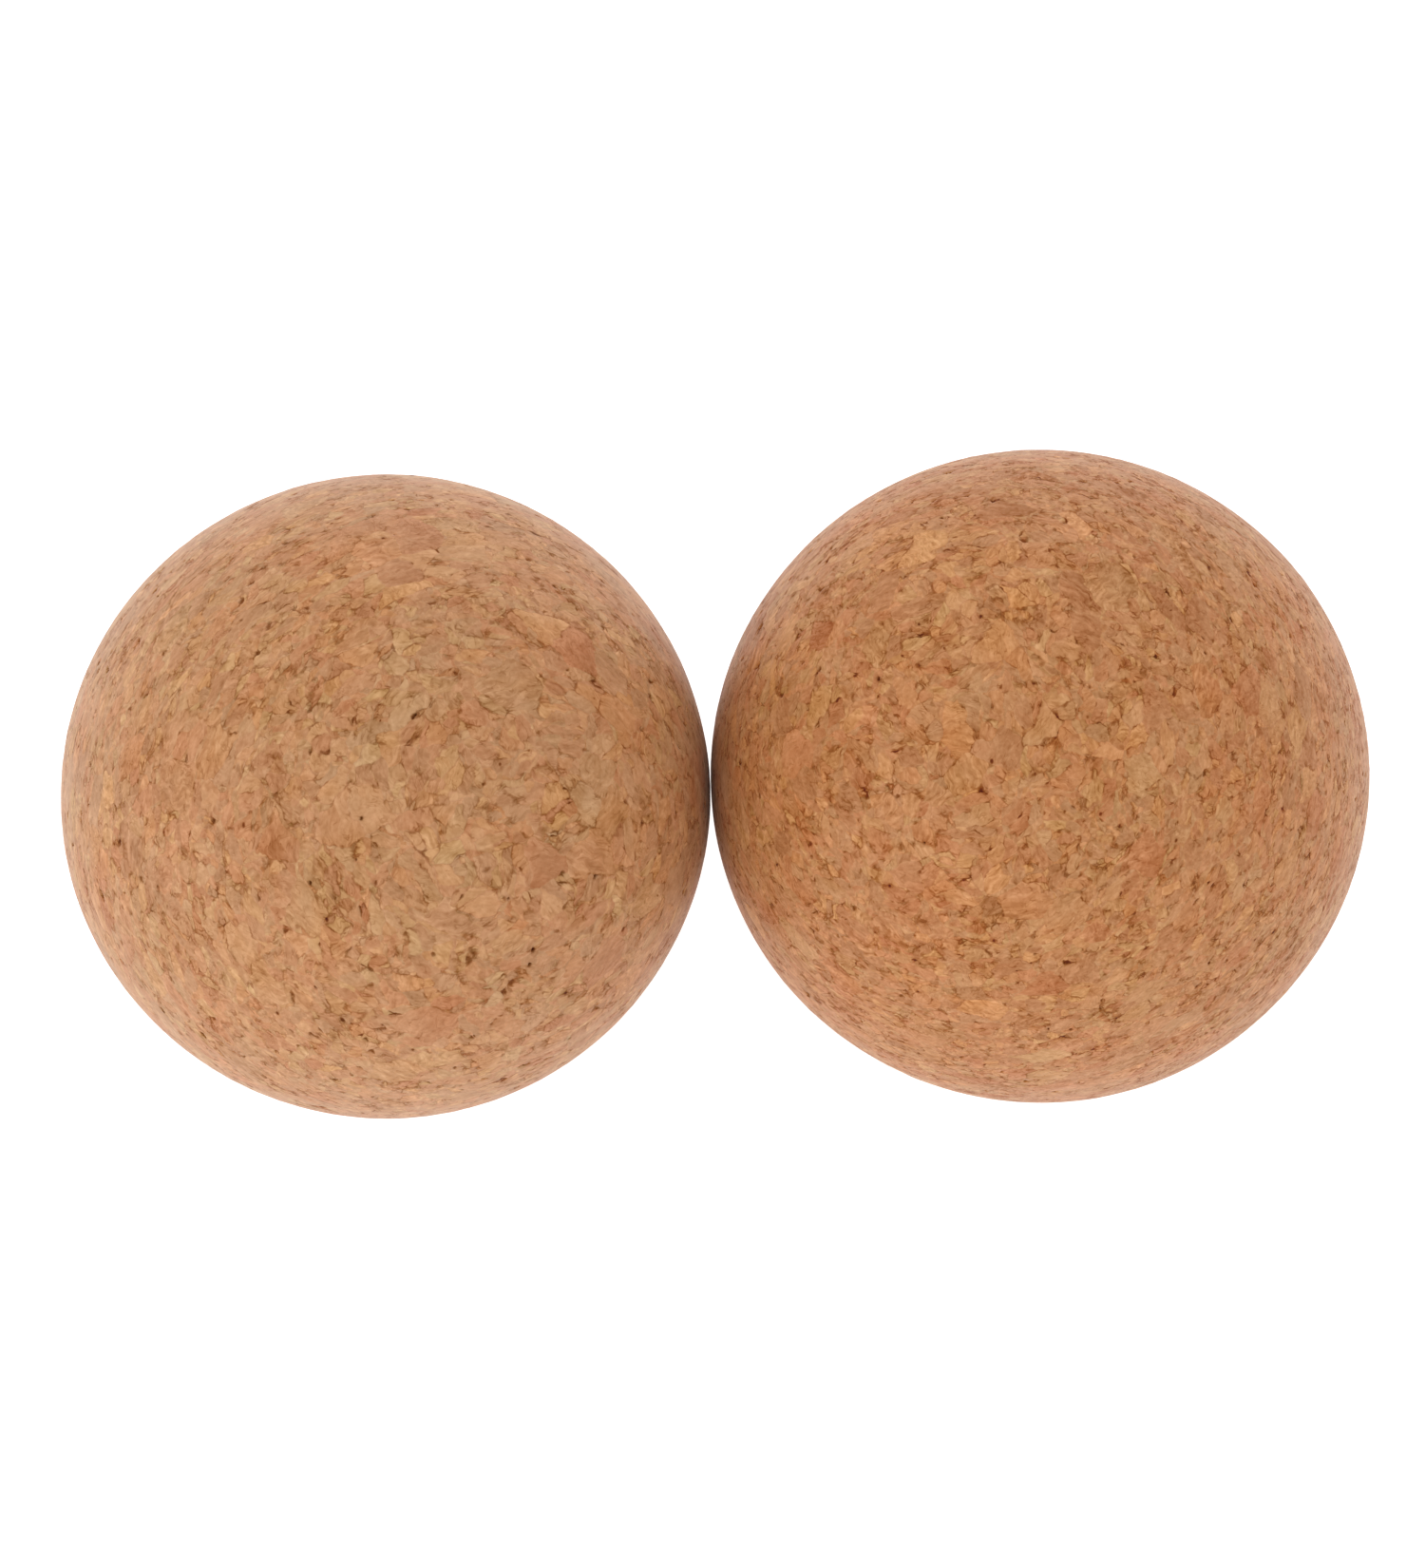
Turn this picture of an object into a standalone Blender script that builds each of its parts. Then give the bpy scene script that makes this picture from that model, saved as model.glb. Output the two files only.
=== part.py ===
"""A pair of massage balls, each turned in one piece from agglomerated cork.

The balls lie side by side on a flat surface (z = 0) and touch each other. The origin is
on that surface, at the middle of the pair's bounding box: +X runs from the left ball to
the right one, +Y points away from the viewer and +Z points up.
"""

import math

import bmesh
import bpy
from mathutils import Vector

MM = 0.001

# Nominally both balls are 65 mm. Hand sanding leaves the right one a little larger.
LEFT_DIAMETER = 65.0 * MM
RIGHT_DIAMETER = 66.0 * MM

# Clear air left where the two balls meet.
CONTACT_GAP = 0.05 * MM

# Each subdivision splits a facet in four: 5 gives 5120 facets, about 2.4 mm on a side.
FACET_SUBDIVISIONS = 5

# The balls come from two blanks, so their colours differ slightly (linear RGB).
LEFT_CORK_COLOUR = (0.50, 0.24, 0.11)
RIGHT_CORK_COLOUR = (0.48, 0.21, 0.09)
CORK_ROUGHNESS = 0.75


def clear_scene():
    for obj in list(bpy.data.objects):
        bpy.data.objects.remove(obj, do_unlink=True)


def cork_material(name, colour):
    material = bpy.data.materials.new(name)
    material.use_nodes = True
    shader = material.node_tree.nodes["Principled BSDF"]
    shader.inputs["Base Color"].default_value = (*colour, 1.0)
    shader.inputs["Roughness"].default_value = CORK_ROUGHNESS
    shader.inputs["Metallic"].default_value = 0.0
    return material


def turned_ball(name, diameter, centre, material):
    """One solid ball, with its object's origin at the ball's centre."""
    bm = bmesh.new()
    bmesh.ops.create_icosphere(bm, subdivisions=FACET_SUBDIVISIONS, radius=diameter / 2)
    mesh = bpy.data.meshes.new(name)
    bm.to_mesh(mesh)
    bm.free()
    mesh.materials.append(material)
    mesh.shade_smooth()
    ball = bpy.data.objects.new(name, mesh)
    ball.location = centre
    bpy.context.scene.collection.objects.link(ball)
    return ball


def centre_distance_along_x(radius_a, radius_b, gap):
    """How far apart in X two balls lie that stand on one surface with this gap between them."""
    between_centres = radius_a + radius_b + gap
    rise = radius_b - radius_a
    return math.sqrt(between_centres**2 - rise**2)


def build():
    clear_scene()
    left_radius = LEFT_DIAMETER / 2
    right_radius = RIGHT_DIAMETER / 2
    apart = centre_distance_along_x(left_radius, right_radius, CONTACT_GAP)
    length = left_radius + apart + right_radius
    left_centre = Vector((-length / 2 + left_radius, 0.0, left_radius))
    right_centre = Vector((length / 2 - right_radius, 0.0, right_radius))
    turned_ball(
        "left_ball", LEFT_DIAMETER, left_centre, cork_material("left_cork", LEFT_CORK_COLOUR)
    )
    turned_ball(
        "right_ball", RIGHT_DIAMETER, right_centre, cork_material("right_cork", RIGHT_CORK_COLOUR)
    )


build()
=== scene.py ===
"""Two cork massage balls: carved relief, cork material, white studio and camera.

Lengths inside the cork are in millimetres of each ball's own block of cork, whose Z axis is the
direction in which the granules were pressed. Everything else is in metres, in the row frame.
Colours are built up in display units, 0 for black and 1 for white, and turned into
reflectance by a gamma at the end.
"""

import math
from collections import namedtuple

import bmesh
import bpy
import numpy as np
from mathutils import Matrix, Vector


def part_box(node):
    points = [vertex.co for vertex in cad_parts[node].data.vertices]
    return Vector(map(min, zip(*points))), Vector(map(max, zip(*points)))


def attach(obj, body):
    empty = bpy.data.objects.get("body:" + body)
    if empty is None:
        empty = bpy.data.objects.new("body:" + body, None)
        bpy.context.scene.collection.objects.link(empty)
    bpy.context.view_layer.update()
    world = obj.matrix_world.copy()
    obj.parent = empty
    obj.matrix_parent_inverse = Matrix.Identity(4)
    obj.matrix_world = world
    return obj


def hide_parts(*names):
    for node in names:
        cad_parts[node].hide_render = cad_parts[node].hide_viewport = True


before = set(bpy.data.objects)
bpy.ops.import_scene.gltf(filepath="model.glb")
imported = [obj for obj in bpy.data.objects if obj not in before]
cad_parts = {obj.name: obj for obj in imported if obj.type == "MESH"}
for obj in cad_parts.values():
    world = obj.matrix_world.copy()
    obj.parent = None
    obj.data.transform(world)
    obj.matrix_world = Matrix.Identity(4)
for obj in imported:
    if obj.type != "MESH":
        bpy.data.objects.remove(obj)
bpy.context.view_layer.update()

MM = 0.001

# ---- The blocks of cork that the balls are turned from ----------------------------------

# pressed_along: the direction of pressing, in the row frame
# block_offset: where in the endless pattern the ball is cut out, in mm
# fineness: how many times smaller the granules are than the sizes below
# contrast: how much stronger every mark is than the weights in tone_of
# hue: what red, green and blue add to the lightness
BALLS = {
    "left_ball": {
        "slot": "left_cork",
        "body": "left_ball",
        "pressed_along": (0.47, -0.51, 0.72),
        "block_offset": (120.0, 40.0, -60.0),
        "fineness": 1.0,
        "lightness": 0.582,
        "contrast": 1.02,
        "hue": (0.170, -0.045, -0.217),
    },
    "right_ball": {
        "slot": "right_cork",
        "body": "right_ball",
        "pressed_along": (-0.37, -0.18, 0.91),
        "block_offset": (310.0, 170.0, 90.0),
        "fineness": 1.2,
        "lightness": 0.551,
        "contrast": 1.12,
        "hue": (0.187, -0.050, -0.235),
    },
}

CORK_POINT = "cork_point"  # vertex attribute: the place in the block of cork, in mm
CARVE = "carve"  # vertex attribute: how far the surface stands out here, in mm

# Mesh of a ball
BASE_SUBDIVISIONS = 7
REFINEMENTS = 2
REFINE_ABOVE = 0.04  # mm of relief along an edge

# Granules, in mm
PRESSED = 1.9  # a granule is this many times thinner along Z than across it
WARP = {"size": 3.2, "reach": 2.2, "detail": 1.0}
ROUGHNESS = {"size": 0.9, "reach": 0.7, "detail": 2.0}
LARGE_GRANULE = 4.2
SHARE_WHOLE = 0.2  # of the large granules: the rest are made of chips
MIDDLE_CHIP = 2.3
SMALL_CHIP = 1.3
SHARE_MIDDLE = 0.7  # of the chips
CHIP_STRETCH = (0.68, 1.35, 1.0)  # below 1 is long, above 1 is narrow

# Holes, in mm
PORES = {"cell": 1.7, "stretch": (1.0, 0.7, 0.8), "rarity": 0.8, "radius": 0.26}
CRACKS = {"cell": 4.5, "stretch": (0.5, 2.0, 1.0), "rarity": 0.7, "radius": 0.4}
SMALLEST_HOLE = 0.05
HOLE_SHARPNESS = 0.4  # this share of the radius is full depth
RAGGED = 0.3  # share of the granules' roughness that the pores follow

# Crevices, in mm: borders of granules that stand open where the cork is loose.
LOOSE_PATCH = 1.5
LOOSE_FROM_TO = (0.6, 0.78)
CREVICE_WIDTH = 0.02
LOOSE_WIDTH = 0.2
CREVICE_SHARPNESS = 0.3  # this share of the width is full depth

# Relief, in mm
GRANULE_HEIGHT = 0.05
GRANULE_SINK = 0.01
GRANULE_SHOULDER = 0.7  # from the border to where the granule is at its own height
CREVICE_DEPTH = 0.2
HOLE_DEPTH = 0.35
SWELL_SIZE = 18.0
SWELL_HEIGHT = 0.08
FINE_BUMP = 0.03
FINE_BUMP_SIZE = 0.22

# Grain inside a granule, in mm and radians. Stretches are along the grain, across it and along Z.
GRAIN_SPREAD = 1.6
BEND = {"size": 2.2, "reach": 1.8}
LAMELLAE_STRETCH = (0.4, 2.4, 0.8)
STREAK_STRETCH = (1.0, 2.6, 1.3)
FLAKE_SIZE = 1.0
FLAKE_STRETCH = (0.5, 1.6, 0.9)
TONE_FADES_WITHIN = 0.16  # of a granule's border
LAYERED_LEAST = 0.2  # how much a granule with few lamellae shows them

# Dark marks. Sizes and widths are in mm.
# none_full: where a mark begins and where it is full; full_none: where it is full and where it ends
# gate: between which values of the gate the marks come in
BUSY_PATCH = 4.2
CROWDED_FROM_TO = (0.44, 0.66)
GATE = {"size": 1.3, "busy_share": 0.4, "drop": 0.2}
STROKES = {"stretch": (0.6, 1.8, 0.9), "full_none": (0.01, 0.045), "gate": (0.40, 0.66)}
SPECKS = {"size": 0.42, "stretch": (0.7, 1.4, 1.0), "none_full": (0.67, 0.77), "stray": 0.05}
SEAMS = {"gate": (0.43, 0.72), "width": 0.04, "widened": 0.16, "sharpness": 0.2}
HALOS = {"full_none": (0.1, 0.55), "rarity": (0.5, 0.9)}

# Roughness, of marks and of plain cork, and the tones that count as such
MARK_TONE = 0.35
PLAIN_TONE = 0.55
MARK_ROUGHNESS = 0.85
PLAIN_ROUGHNESS = 0.5

# Colour
RED_SHIFT = (0.62, -0.32, -0.44)
YELLOW_SHIFT = (0.1, 0.1, -0.9)
LEAST_YELLOW = -0.01
DARKEST = 0.02
DISPLAY_GAMMA = 2.2
BRIGHTNESS = 0.862

HALF = (0.5, 0.5, 0.5)


class Graph:
    """Adds nodes to one tree. The same calls work in a material's tree and in Geometry Nodes."""

    def __init__(self, tree):
        self.tree = tree

    def put(self, socket, value):
        if isinstance(value, bpy.types.NodeSocket):
            self.tree.links.new(value, socket)
        else:
            socket.default_value = value

    def node(self, kind, settings=(), **inputs):
        node = self.tree.nodes.new(kind)
        for name, value in dict(settings).items():
            setattr(node, name, value)
        for name, value in inputs.items():
            self.put(node.inputs[name], value)
        return node

    def math(self, operation, *values):
        node = self.node("ShaderNodeMath", {"operation": operation})
        for socket, value in zip(node.inputs, values):
            self.put(socket, value)
        return node.outputs[0]

    def vector(self, operation, *values):
        node = self.node("ShaderNodeVectorMath", {"operation": operation})
        for socket, value in zip(node.inputs, values):
            self.put(socket, value)
        return node.outputs[0]

    def dot(self, a, b):
        node = self.node("ShaderNodeVectorMath", {"operation": "DOT_PRODUCT"})
        self.put(node.inputs[0], a)
        self.put(node.inputs[1], b)
        return node.outputs["Value"]

    def scale(self, vector, factor):
        node = self.node("ShaderNodeVectorMath", {"operation": "SCALE"})
        self.put(node.inputs[0], vector)
        self.put(node.inputs["Scale"], factor)
        return node.outputs[0]

    def split(self, vector):
        return self.node("ShaderNodeSeparateXYZ", Vector=vector).outputs[:3]

    def turn(self, point, angle):
        """The point turned about Z, the direction of pressing."""
        settings = {"rotation_type": "Z_AXIS"}
        return self.node("ShaderNodeVectorRotate", settings, Vector=point, Angle=angle).outputs[0]

    def step(self, value, low, high, to_low=0.0, to_high=1.0):
        """A smooth step from to_low at low to to_high at high."""
        node = self.node("ShaderNodeMapRange", {"interpolation_type": "SMOOTHSTEP"})
        for socket, number in zip(node.inputs, (value, low, high, to_low, to_high)):
            self.put(socket, number)
        return node.outputs[0]

    def mix(self, factor, a, b):
        node = self.node("ShaderNodeMix", {"data_type": "FLOAT"})
        for index, value in zip((0, 2, 3), (factor, a, b)):
            self.put(node.inputs[index], value)
        return node.outputs[0]

    def mix_vector(self, factor, a, b):
        node = self.node("ShaderNodeMix", {"data_type": "VECTOR"})
        for index, value in zip((0, 4, 5), (factor, a, b)):
            self.put(node.inputs[index], value)
        return node.outputs[1]

    def add_up(self, start, parts):
        """start plus (value - middle) * weight for each (value, middle, weight)."""
        total = start
        for value, middle, weight in parts:
            part = self.math("MULTIPLY_ADD", value, weight, -middle * weight)
            total = self.math("ADD", total, part)
        return total

    def noise(self, point, size, detail=0.0, colour=False):
        node = self.node("ShaderNodeTexNoise", Vector=point, Scale=1.0 / size, Detail=detail)
        return node.outputs["Color" if colour else "Fac"]

    def stretched_noise(self, point, stretch, size=1.0):
        return self.noise(self.vector("MULTIPLY", point, stretch), size, 1.0)

    def wobble(self, point, size, reach, detail):
        """A smooth random shift of up to about half of reach."""
        noise = self.noise(point, size, detail, colour=True)
        return self.scale(self.vector("SUBTRACT", noise, HALF), reach)

    def cells(self, point, size):
        """Voronoi cells: (distance to the cell's centre in mm, three random numbers, the centre)."""
        node = self.node("ShaderNodeTexVoronoi", Vector=point, Scale=1.0 / size)
        distance = self.math("MULTIPLY", node.outputs["Distance"], size)
        return distance, node.outputs["Color"], node.outputs["Position"]

    def border(self, point, size):
        """Distance to the nearest border between Voronoi cells, in mm."""
        settings = {"feature": "DISTANCE_TO_EDGE"}
        node = self.node("ShaderNodeTexVoronoi", settings, Vector=point, Scale=1.0 / size)
        return self.math("MULTIPLY", node.outputs["Distance"], size)


# ---- The structure of the cork ----------------------------------------------------------

# point, pressed: the place in the block, as it is and with Z scaled by PRESSED
# turned: the warped place, turned by angle, its large granule's own direction
# random: three random numbers of the granule or chip; border: mm to its border
# lean: painted shade, from a granule's dark side to its bright side as if it were tilted to the
# light; crevice, hole: 0 to 1
# pore_distance, pore_number: mm to the nearest pore's centre, and that pore's random number
Cork = namedtuple(
    "Cork", "point pressed turned angle random border lean crevice hole pore_distance pore_number"
)
Granule = namedtuple("Granule", "random from_centre border")


def choose(g, share, cell, coarse, fine):
    """The coarse granule in a share of its cells, and the fine one in the others."""
    is_coarse = g.math("LESS_THAN", g.split(cell)[0], share)
    border = g.mix(is_coarse, fine.border, coarse.border)
    return Granule(
        g.mix_vector(is_coarse, fine.random, coarse.random),
        g.mix_vector(is_coarse, fine.from_centre, coarse.from_centre),
        g.math("MINIMUM", coarse.border, border),
    )


def granule(g, point, size):
    _, random, centre = g.cells(point, size)
    return Granule(random, g.vector("SUBTRACT", point, centre), g.border(point, size))


def hole(g, point, kind):
    """Rare holes: (0 to 1, mm to the nearest centre, the random number that sets its radius)."""
    distance, random, _ = g.cells(g.vector("MULTIPLY", point, kind["stretch"]), kind["cell"])
    number = g.split(random)[0]
    radius = g.step(number, kind["rarity"], 1.0, 0.0, kind["radius"])
    inside = g.step(g.math("DIVIDE", distance, radius), HOLE_SHARPNESS, 1.0, 1.0, 0.0)
    inside = g.math("MULTIPLY", inside, g.math("GREATER_THAN", radius, SMALLEST_HOLE))
    return inside, distance, number


def cork_at(g, point):
    """The cork at a point of the block: relief and material both read it."""
    pressed = g.vector("MULTIPLY", point, (1.0, 1.0, PRESSED))
    rough = g.wobble(pressed, **ROUGHNESS)
    place = g.vector("ADD", pressed, g.vector("ADD", g.wobble(pressed, **WARP), rough))

    large = granule(g, place, LARGE_GRANULE)
    angle = g.math("MULTIPLY", g.split(large.random)[1], math.tau)
    turned = g.turn(place, angle)
    chips = g.vector("MULTIPLY", turned, CHIP_STRETCH)
    middle = granule(g, chips, MIDDLE_CHIP)
    chip = choose(g, SHARE_MIDDLE, middle.random, middle, granule(g, chips, SMALL_CHIP))
    own = choose(g, SHARE_WHOLE, large.random, large, chip)
    random = g.node("ShaderNodeTexWhiteNoise", Vector=own.random).outputs["Color"]
    # Painted shade: each granule is lighter on one side and darker on the other, as if tilted to the
    # light.
    lean = g.dot(own.from_centre, g.vector("SUBTRACT", random, HALF))

    loose = g.step(g.noise(pressed, LOOSE_PATCH, 1.0), *LOOSE_FROM_TO)
    width = g.math("MULTIPLY_ADD", loose, LOOSE_WIDTH, CREVICE_WIDTH)
    gap = g.step(g.math("DIVIDE", own.border, width), CREVICE_SHARPNESS, 1.0, 1.0, 0.0)
    ragged = g.vector("ADD", pressed, g.scale(rough, RAGGED))
    pore, pore_distance, pore_number = hole(g, ragged, PORES)
    crack, _, _ = hole(g, turned, CRACKS)
    return Cork(
        point, pressed, turned, angle, g.split(random), own.border, lean,
        g.math("MULTIPLY", gap, loose), g.math("MAXIMUM", pore, crack),
        pore_distance, pore_number,
    )


def relief_at(g, cork):
    """How far the surface stands out from the true sphere, in mm."""
    inside = g.step(cork.border, 0.0, GRANULE_SHOULDER)
    height = g.math("MULTIPLY_ADD", cork.random[1], GRANULE_HEIGHT, -GRANULE_SINK)
    return g.add_up(g.math("MULTIPLY", height, inside), (
        (g.noise(cork.point, SWELL_SIZE), 0.5, 2 * SWELL_HEIGHT),
        (cork.crevice, 0.0, -CREVICE_DEPTH),
        (cork.hole, 0.0, -HOLE_DEPTH),
    ))


# ---- Mesh -------------------------------------------------------------------------------


def relief_tree():
    """Geometry Nodes that read CORK_POINT and store the relief there as CARVE."""
    tree = bpy.data.node_groups.new("cork_relief", "GeometryNodeTree")
    tree.interface.new_socket("Geometry", in_out="INPUT", socket_type="NodeSocketGeometry")
    tree.interface.new_socket("Geometry", in_out="OUTPUT", socket_type="NodeSocketGeometry")
    g = Graph(tree)
    mesh_in = g.node("NodeGroupInput").outputs[0]
    as_vector = {"data_type": "FLOAT_VECTOR"}
    point = g.node("GeometryNodeInputNamedAttribute", as_vector, Name=CORK_POINT).outputs[0]
    relief = relief_at(g, cork_at(g, point))
    per_vertex = {"data_type": "FLOAT", "domain": "POINT"}
    store = g.node("GeometryNodeStoreNamedAttribute", per_vertex, Name=CARVE)
    g.put(store.inputs["Geometry"], mesh_in)
    g.put(store.inputs["Value"], relief)
    g.put(g.node("NodeGroupOutput").inputs[0], store.outputs[0])
    return tree


def directions(mesh):
    """Unit vectors from the ball's centre to its vertices."""
    points = np.empty(len(mesh.vertices) * 3, np.float32)
    mesh.vertices.foreach_get("co", points)
    points = points.reshape(-1, 3)
    return points / np.linalg.norm(points, axis=1, keepdims=True)


def place_in_cork(mesh, radius, block):
    """Writes each vertex's place in the block of cork."""
    pressed_along = Vector(block["pressed_along"])
    turn = np.array(pressed_along.rotation_difference(Vector((0.0, 0.0, 1.0))).to_matrix())
    points = directions(mesh) @ turn.T * (radius / MM * block["fineness"])
    points += np.array(block["block_offset"])
    layer = mesh.attributes.get(CORK_POINT)
    if layer is None:
        layer = mesh.attributes.new(CORK_POINT, "FLOAT_VECTOR", "POINT")
    layer.data.foreach_set("vector", points.astype(np.float32).ravel())


def relief_of(mesh, radius, block, tree):
    """The relief at each vertex in mm, from the Geometry Nodes."""
    place_in_cork(mesh, radius, block)
    obj = bpy.data.objects.new("relief_probe", mesh)
    bpy.context.scene.collection.objects.link(obj)
    obj.modifiers.new("relief", "NODES").node_group = tree
    evaluated = obj.evaluated_get(bpy.context.evaluated_depsgraph_get()).data
    relief = np.empty(len(evaluated.vertices), np.float32)
    evaluated.attributes[CARVE].data.foreach_get("value", relief)
    bpy.data.objects.remove(obj)
    return relief


def refine(mesh, relief):
    """Splits the edges along which the relief changes most."""
    bm = bmesh.new()
    bm.from_mesh(mesh)
    bm.verts.ensure_lookup_table()
    steep = [
        edge
        for edge in bm.edges
        if abs(relief[edge.verts[0].index] - relief[edge.verts[1].index]) > REFINE_ABOVE
    ]
    bmesh.ops.subdivide_edges(bm, edges=steep, cuts=1, use_grid_fill=True)
    bmesh.ops.triangulate(bm, faces=bm.faces[:])
    bm.to_mesh(mesh)
    bm.free()


def sphere(name, radius):
    mesh = bpy.data.meshes.new(name)
    bm = bmesh.new()
    bmesh.ops.create_icosphere(bm, subdivisions=BASE_SUBDIVISIONS, radius=radius)
    bm.to_mesh(mesh)
    bm.free()
    return mesh


def cork_ball(node, block, tree):
    """One ball with its relief, in place of its plain CAD solid."""
    low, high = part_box(node)
    centre, radius = (low + high) / 2, (high.z - low.z) / 2
    mesh = sphere(node + "_cork", radius)
    for _ in range(REFINEMENTS):
        refine(mesh, relief_of(mesh, radius, block, tree))
    relief = relief_of(mesh, radius, block, tree)
    points = directions(mesh) * (radius + relief[:, None] * MM)
    mesh.vertices.foreach_set("co", points.astype(np.float32).ravel())
    mesh.update()
    mesh.shade_smooth()
    ball = bpy.data.objects.new(node + "_cork", mesh)
    ball.location = centre
    bpy.context.scene.collection.objects.link(ball)
    mesh.materials.append(cork_material(block))
    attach(ball, block["body"])
    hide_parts(node)


# ---- Material ---------------------------------------------------------------------------


# bent: the place, turned to the grain of its granule and bent, so that X runs along the grain
# lamellae: the layers inside a granule, 0 to 1; flake: three random numbers of a small flake
# crowded: 0 to 1, how many marks there are; gate: lets strokes and seams in where it is high
# own_tone: the granule's own lightness, which fades towards its border
Grain = namedtuple("Grain", "bent lamellae flake crowded gate own_tone")


def grain_at(g, cork):
    """What the colour needs beyond the structure that the relief reads too."""
    angle = g.math("SUBTRACT", cork.angle, GRAIN_SPREAD / 2)
    angle = g.math("MULTIPLY_ADD", cork.random[1], GRAIN_SPREAD, angle)
    bend = g.scale(g.noise(cork.pressed, BEND["size"], 1.0, colour=True), BEND["reach"])
    bent = g.vector("ADD", g.turn(cork.pressed, angle), bend)
    _, flake, _ = g.cells(g.vector("MULTIPLY", bent, FLAKE_STRETCH), FLAKE_SIZE)
    busy = g.noise(cork.pressed, BUSY_PATCH, 1.0)
    gate = g.math("SUBTRACT", g.noise(cork.pressed, GATE["size"], 1.0), GATE["drop"])
    inside = g.step(cork.border, 0.0, TONE_FADES_WITHIN)
    return Grain(
        bent=bent,
        lamellae=g.stretched_noise(bent, LAMELLAE_STRETCH),
        flake=g.split(flake),
        crowded=g.step(busy, *CROWDED_FROM_TO),
        gate=g.math("MULTIPLY_ADD", busy, GATE["busy_share"], gate),
        own_tone=g.math("MULTIPLY", g.math("SUBTRACT", cork.random[0], 0.5), inside),
    )


def strokes(g, grain):
    """Thin dark lines: the contours of a noise, where the gate is open."""
    contour = g.math("SUBTRACT", g.stretched_noise(grain.bent, STROKES["stretch"]), 0.5)
    line = g.step(g.math("ABSOLUTE", contour), *STROKES["full_none"], 1.0, 0.0)
    return g.math("MULTIPLY", line, g.step(grain.gate, *STROKES["gate"]))


def specks(g, grain):
    """Small dark blots, nearly all of them in the crowded patches."""
    noise = g.stretched_noise(grain.bent, SPECKS["stretch"], SPECKS["size"])
    blot = g.step(noise, *SPECKS["none_full"])
    share = g.math("MULTIPLY_ADD", grain.crowded, 1.0 - SPECKS["stray"], SPECKS["stray"])
    return g.math("MULTIPLY", blot, share)


def seams(g, cork, grain):
    """Dark borders between granules, where the gate is open."""
    opened = g.step(grain.gate, *SEAMS["gate"])
    width = g.math("MULTIPLY_ADD", opened, SEAMS["widened"], SEAMS["width"])
    line = g.step(g.math("DIVIDE", cork.border, width), SEAMS["sharpness"], 1.0, 1.0, 0.0)
    return g.math("MULTIPLY", line, opened)


def halos(g, cork):
    """A slight darkening around the pores."""
    near = g.step(cork.pore_distance, *HALOS["full_none"], 1.0, 0.0)
    return g.math("MULTIPLY", near, g.step(cork.pore_number, *HALOS["rarity"]))


# The rows below: a value, what it is where it changes nothing, and the weight of its change


def tone_of(g, cork, grain, block):
    """The lightness, in display units, with painted shade on one side of each granule and in the
    crevices and holes.
    """
    layered = g.step(cork.random[2], 0.2, 1.0, LAYERED_LEAST, 1.0)
    layers = g.math("MULTIPLY", g.math("SUBTRACT", grain.lamellae, 0.5), layered)
    tone = g.add_up(0.0, (
        (grain.own_tone, 0.0, 0.075),
        # painted shade: each granule darker on one side, as if tilted to the light
        (cork.lean, 0.0, 0.02),
        (grain.flake[0], 0.5, 0.045),
        (layers, 0.0, 0.25),
        (g.stretched_noise(grain.bent, STREAK_STRETCH), 0.5, 0.10),
        (g.noise(cork.pressed, 0.45, 1.0), 0.5, 0.11),
        (g.noise(cork.pressed, 1.4, 1.0), 0.5, 0.08),
        (g.noise(cork.point, 9.0, 1.0), 0.5, 0.04),
        (grain.crowded, 0.3, -0.02),
        (strokes(g, grain), 0.0, -0.075),
        (specks(g, grain), 0.0, -0.10),
        (seams(g, cork, grain), 0.0, -0.12),
        (halos(g, cork), 0.0, -0.05),
        # crevices and holes: partly the dark of the voids themselves, partly painted shade in these
        # recesses on top of the carved relief
        (cork.crevice, 0.0, -0.18),
        (cork.hole, 0.0, -0.22),
    ))
    return g.math("MULTIPLY_ADD", tone, block["contrast"], block["lightness"])


def hue_of(g, cork, grain, block):
    """What red, green and blue add to the lightness, in display units."""
    red = g.add_up(0.0, (
        (cork.random[1], 0.5, 0.045),
        (grain.own_tone, 0.0, -0.02),
        (g.noise(cork.point, 6.0, 1.0), 0.5, 0.05),
        (grain.flake[1], 0.5, 0.010),
        (grain.crowded, 0.3, 0.008),
    ))
    yellow = g.add_up(0.0, (
        (cork.random[2], 0.5, 0.025),
        (grain.own_tone, 0.0, 0.04),
        (g.noise(cork.point, 7.0, 1.0), 0.5, 0.015),
        (grain.flake[2], 0.5, 0.004),
        (grain.crowded, 0.3, 0.010),
    ))
    yellow = g.math("MAXIMUM", yellow, LEAST_YELLOW)
    hue = g.vector("ADD", g.scale(RED_SHIFT, red), g.scale(YELLOW_SHIFT, yellow))
    return g.vector("ADD", hue, block["hue"])


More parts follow.
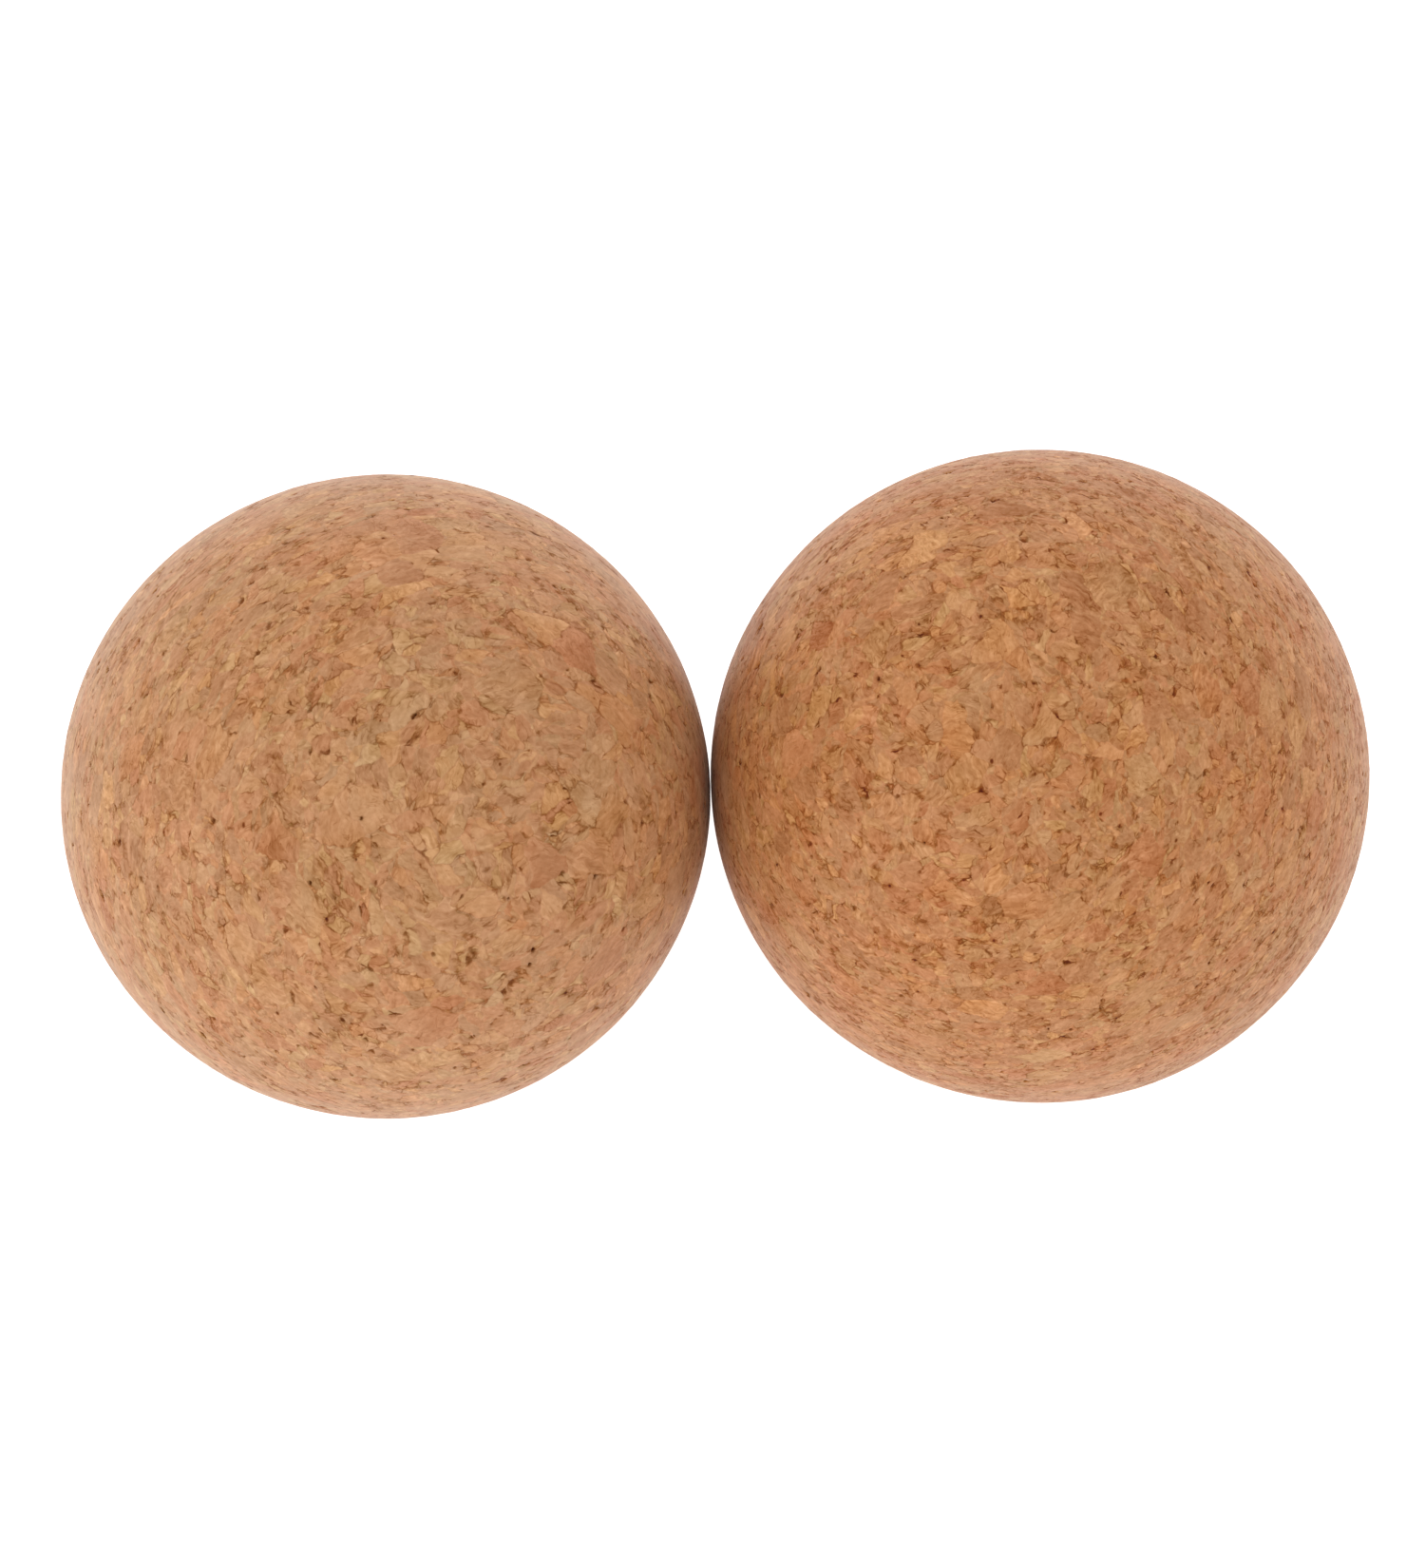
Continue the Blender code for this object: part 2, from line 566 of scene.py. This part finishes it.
def cork_material(block):
    material = bpy.data.materials.new(block["slot"])
    material.use_nodes = True
    tree = material.node_tree
    g = Graph(tree)
    shader = tree.nodes["Principled BSDF"]
    point = g.node("ShaderNodeAttribute", {"attribute_name": CORK_POINT}).outputs["Vector"]
    cork = cork_at(g, point)
    grain = grain_at(g, cork)
    tone = tone_of(g, cork, grain, block)

    grey = g.node("ShaderNodeCombineXYZ", X=tone, Y=tone, Z=tone).outputs[0]
    colour = g.vector("ADD", grey, hue_of(g, cork, grain, block))
    colour = g.vector("MAXIMUM", colour, (DARKEST, DARKEST, DARKEST))
    colour = g.node("ShaderNodeGamma", Color=colour, Gamma=DISPLAY_GAMMA).outputs[0]
    g.put(shader.inputs["Base Color"], g.scale(colour, BRIGHTNESS))
    roughness = g.step(tone, MARK_TONE, PLAIN_TONE, MARK_ROUGHNESS, PLAIN_ROUGHNESS)
    g.put(shader.inputs["Roughness"], roughness)
    shader.inputs["Specular IOR Level"].default_value = 0.25
    shader.inputs["Sheen Weight"].default_value = 0.06
    shader.inputs["Sheen Roughness"].default_value = 0.35

    height = g.math("ADD", g.noise(point, FINE_BUMP_SIZE, 2.0), grain.lamellae)
    height = g.math("MULTIPLY", height, FINE_BUMP)
    bump = g.node("ShaderNodeBump", Strength=1.0, Distance=MM, Height=height)
    g.put(shader.inputs["Normal"], bump.outputs[0])
    return material


# ---- Stage ------------------------------------------------------------------------------

LENS_MM = 55.0
SENSOR_MM = 36.0
CLIP_START = 0.01
CAMERA_AZIMUTH = -1.759
CAMERA_ELEVATION = 67.747
CAMERA_DISTANCE = 0.2445
CAMERA_AIM = Vector((-0.00027, 0.00035, 0.0325))

SOFTBOX_DISTANCE = 1.0
SOFTBOX_SIZE = 0.8
SOFTBOX_ELEVATION = 25.0
SOFTBOXES = {"key": (-60.0, 1.9), "back": (165.0, 1.3)}  # azimuth in degrees, watts

WHITE = (1.0, 1.0, 1.0, 1.0)
FLOOR_HALF_SIDE = 1.5
FLOOR_WHITE = (0.6, 0.6, 0.6, 1.0)
FLOOR_GLOW = 0.78


def towards(azimuth, elevation):
    """The direction of something seen at this azimuth and elevation, in degrees."""
    a, e = math.radians(azimuth), math.radians(elevation)
    return Vector((math.sin(a) * math.cos(e), -math.cos(a) * math.cos(e), math.sin(e)))


def aim(obj, place, back):
    """Puts a camera or light at a place, looking the other way from back."""
    obj.location = place
    obj.rotation_euler = (-back).to_track_quat("-Z", "Y").to_euler()
    bpy.context.scene.collection.objects.link(obj)


def add_camera():
    data = bpy.data.cameras.new("camera")
    data.lens = LENS_MM
    data.sensor_width = SENSOR_MM
    data.clip_start = CLIP_START
    camera = bpy.data.objects.new("camera", data)
    back = towards(CAMERA_AZIMUTH, CAMERA_ELEVATION)
    aim(camera, CAMERA_AIM + back * CAMERA_DISTANCE, back)
    bpy.context.scene.camera = camera


def add_softbox(name, azimuth, watts):
    data = bpy.data.lights.new(name, "AREA")
    data.shape = "DISK"
    data.size = SOFTBOX_SIZE
    data.energy = watts
    back = towards(azimuth, SOFTBOX_ELEVATION)
    aim(bpy.data.objects.new(name, data), back * SOFTBOX_DISTANCE, back)


def add_world():
    world = bpy.data.worlds.new("white_studio")
    world.use_nodes = True
    background = world.node_tree.nodes["Background"]
    background.inputs["Color"].default_value = WHITE
    background.inputs["Strength"].default_value = 1.0
    bpy.context.scene.world = world


def add_floor():
    """A white floor that glows like a light table, because the photo shows no shadow on it."""
    mesh = bpy.data.meshes.new("floor")
    bm = bmesh.new()
    bmesh.ops.create_grid(bm, x_segments=1, y_segments=1, size=FLOOR_HALF_SIDE)
    bm.to_mesh(mesh)
    bm.free()
    material = bpy.data.materials.new("white_floor")
    material.use_nodes = True
    shader = material.node_tree.nodes["Principled BSDF"]
    shader.inputs["Base Color"].default_value = FLOOR_WHITE
    shader.inputs["Roughness"].default_value = 0.9
    shader.inputs["Specular IOR Level"].default_value = 0.1
    shader.inputs["Emission Color"].default_value = WHITE
    shader.inputs["Emission Strength"].default_value = FLOOR_GLOW
    mesh.materials.append(material)
    floor = bpy.data.objects.new("floor", mesh)
    bpy.context.scene.collection.objects.link(floor)


def main():
    tree = relief_tree()
    for node, block in BALLS.items():
        cork_ball(node, block, tree)
    add_world()
    add_floor()
    for name, (azimuth, watts) in SOFTBOXES.items():
        add_softbox(name, azimuth, watts)
    add_camera()
    bpy.context.scene.view_settings.view_transform = "Standard"


main()
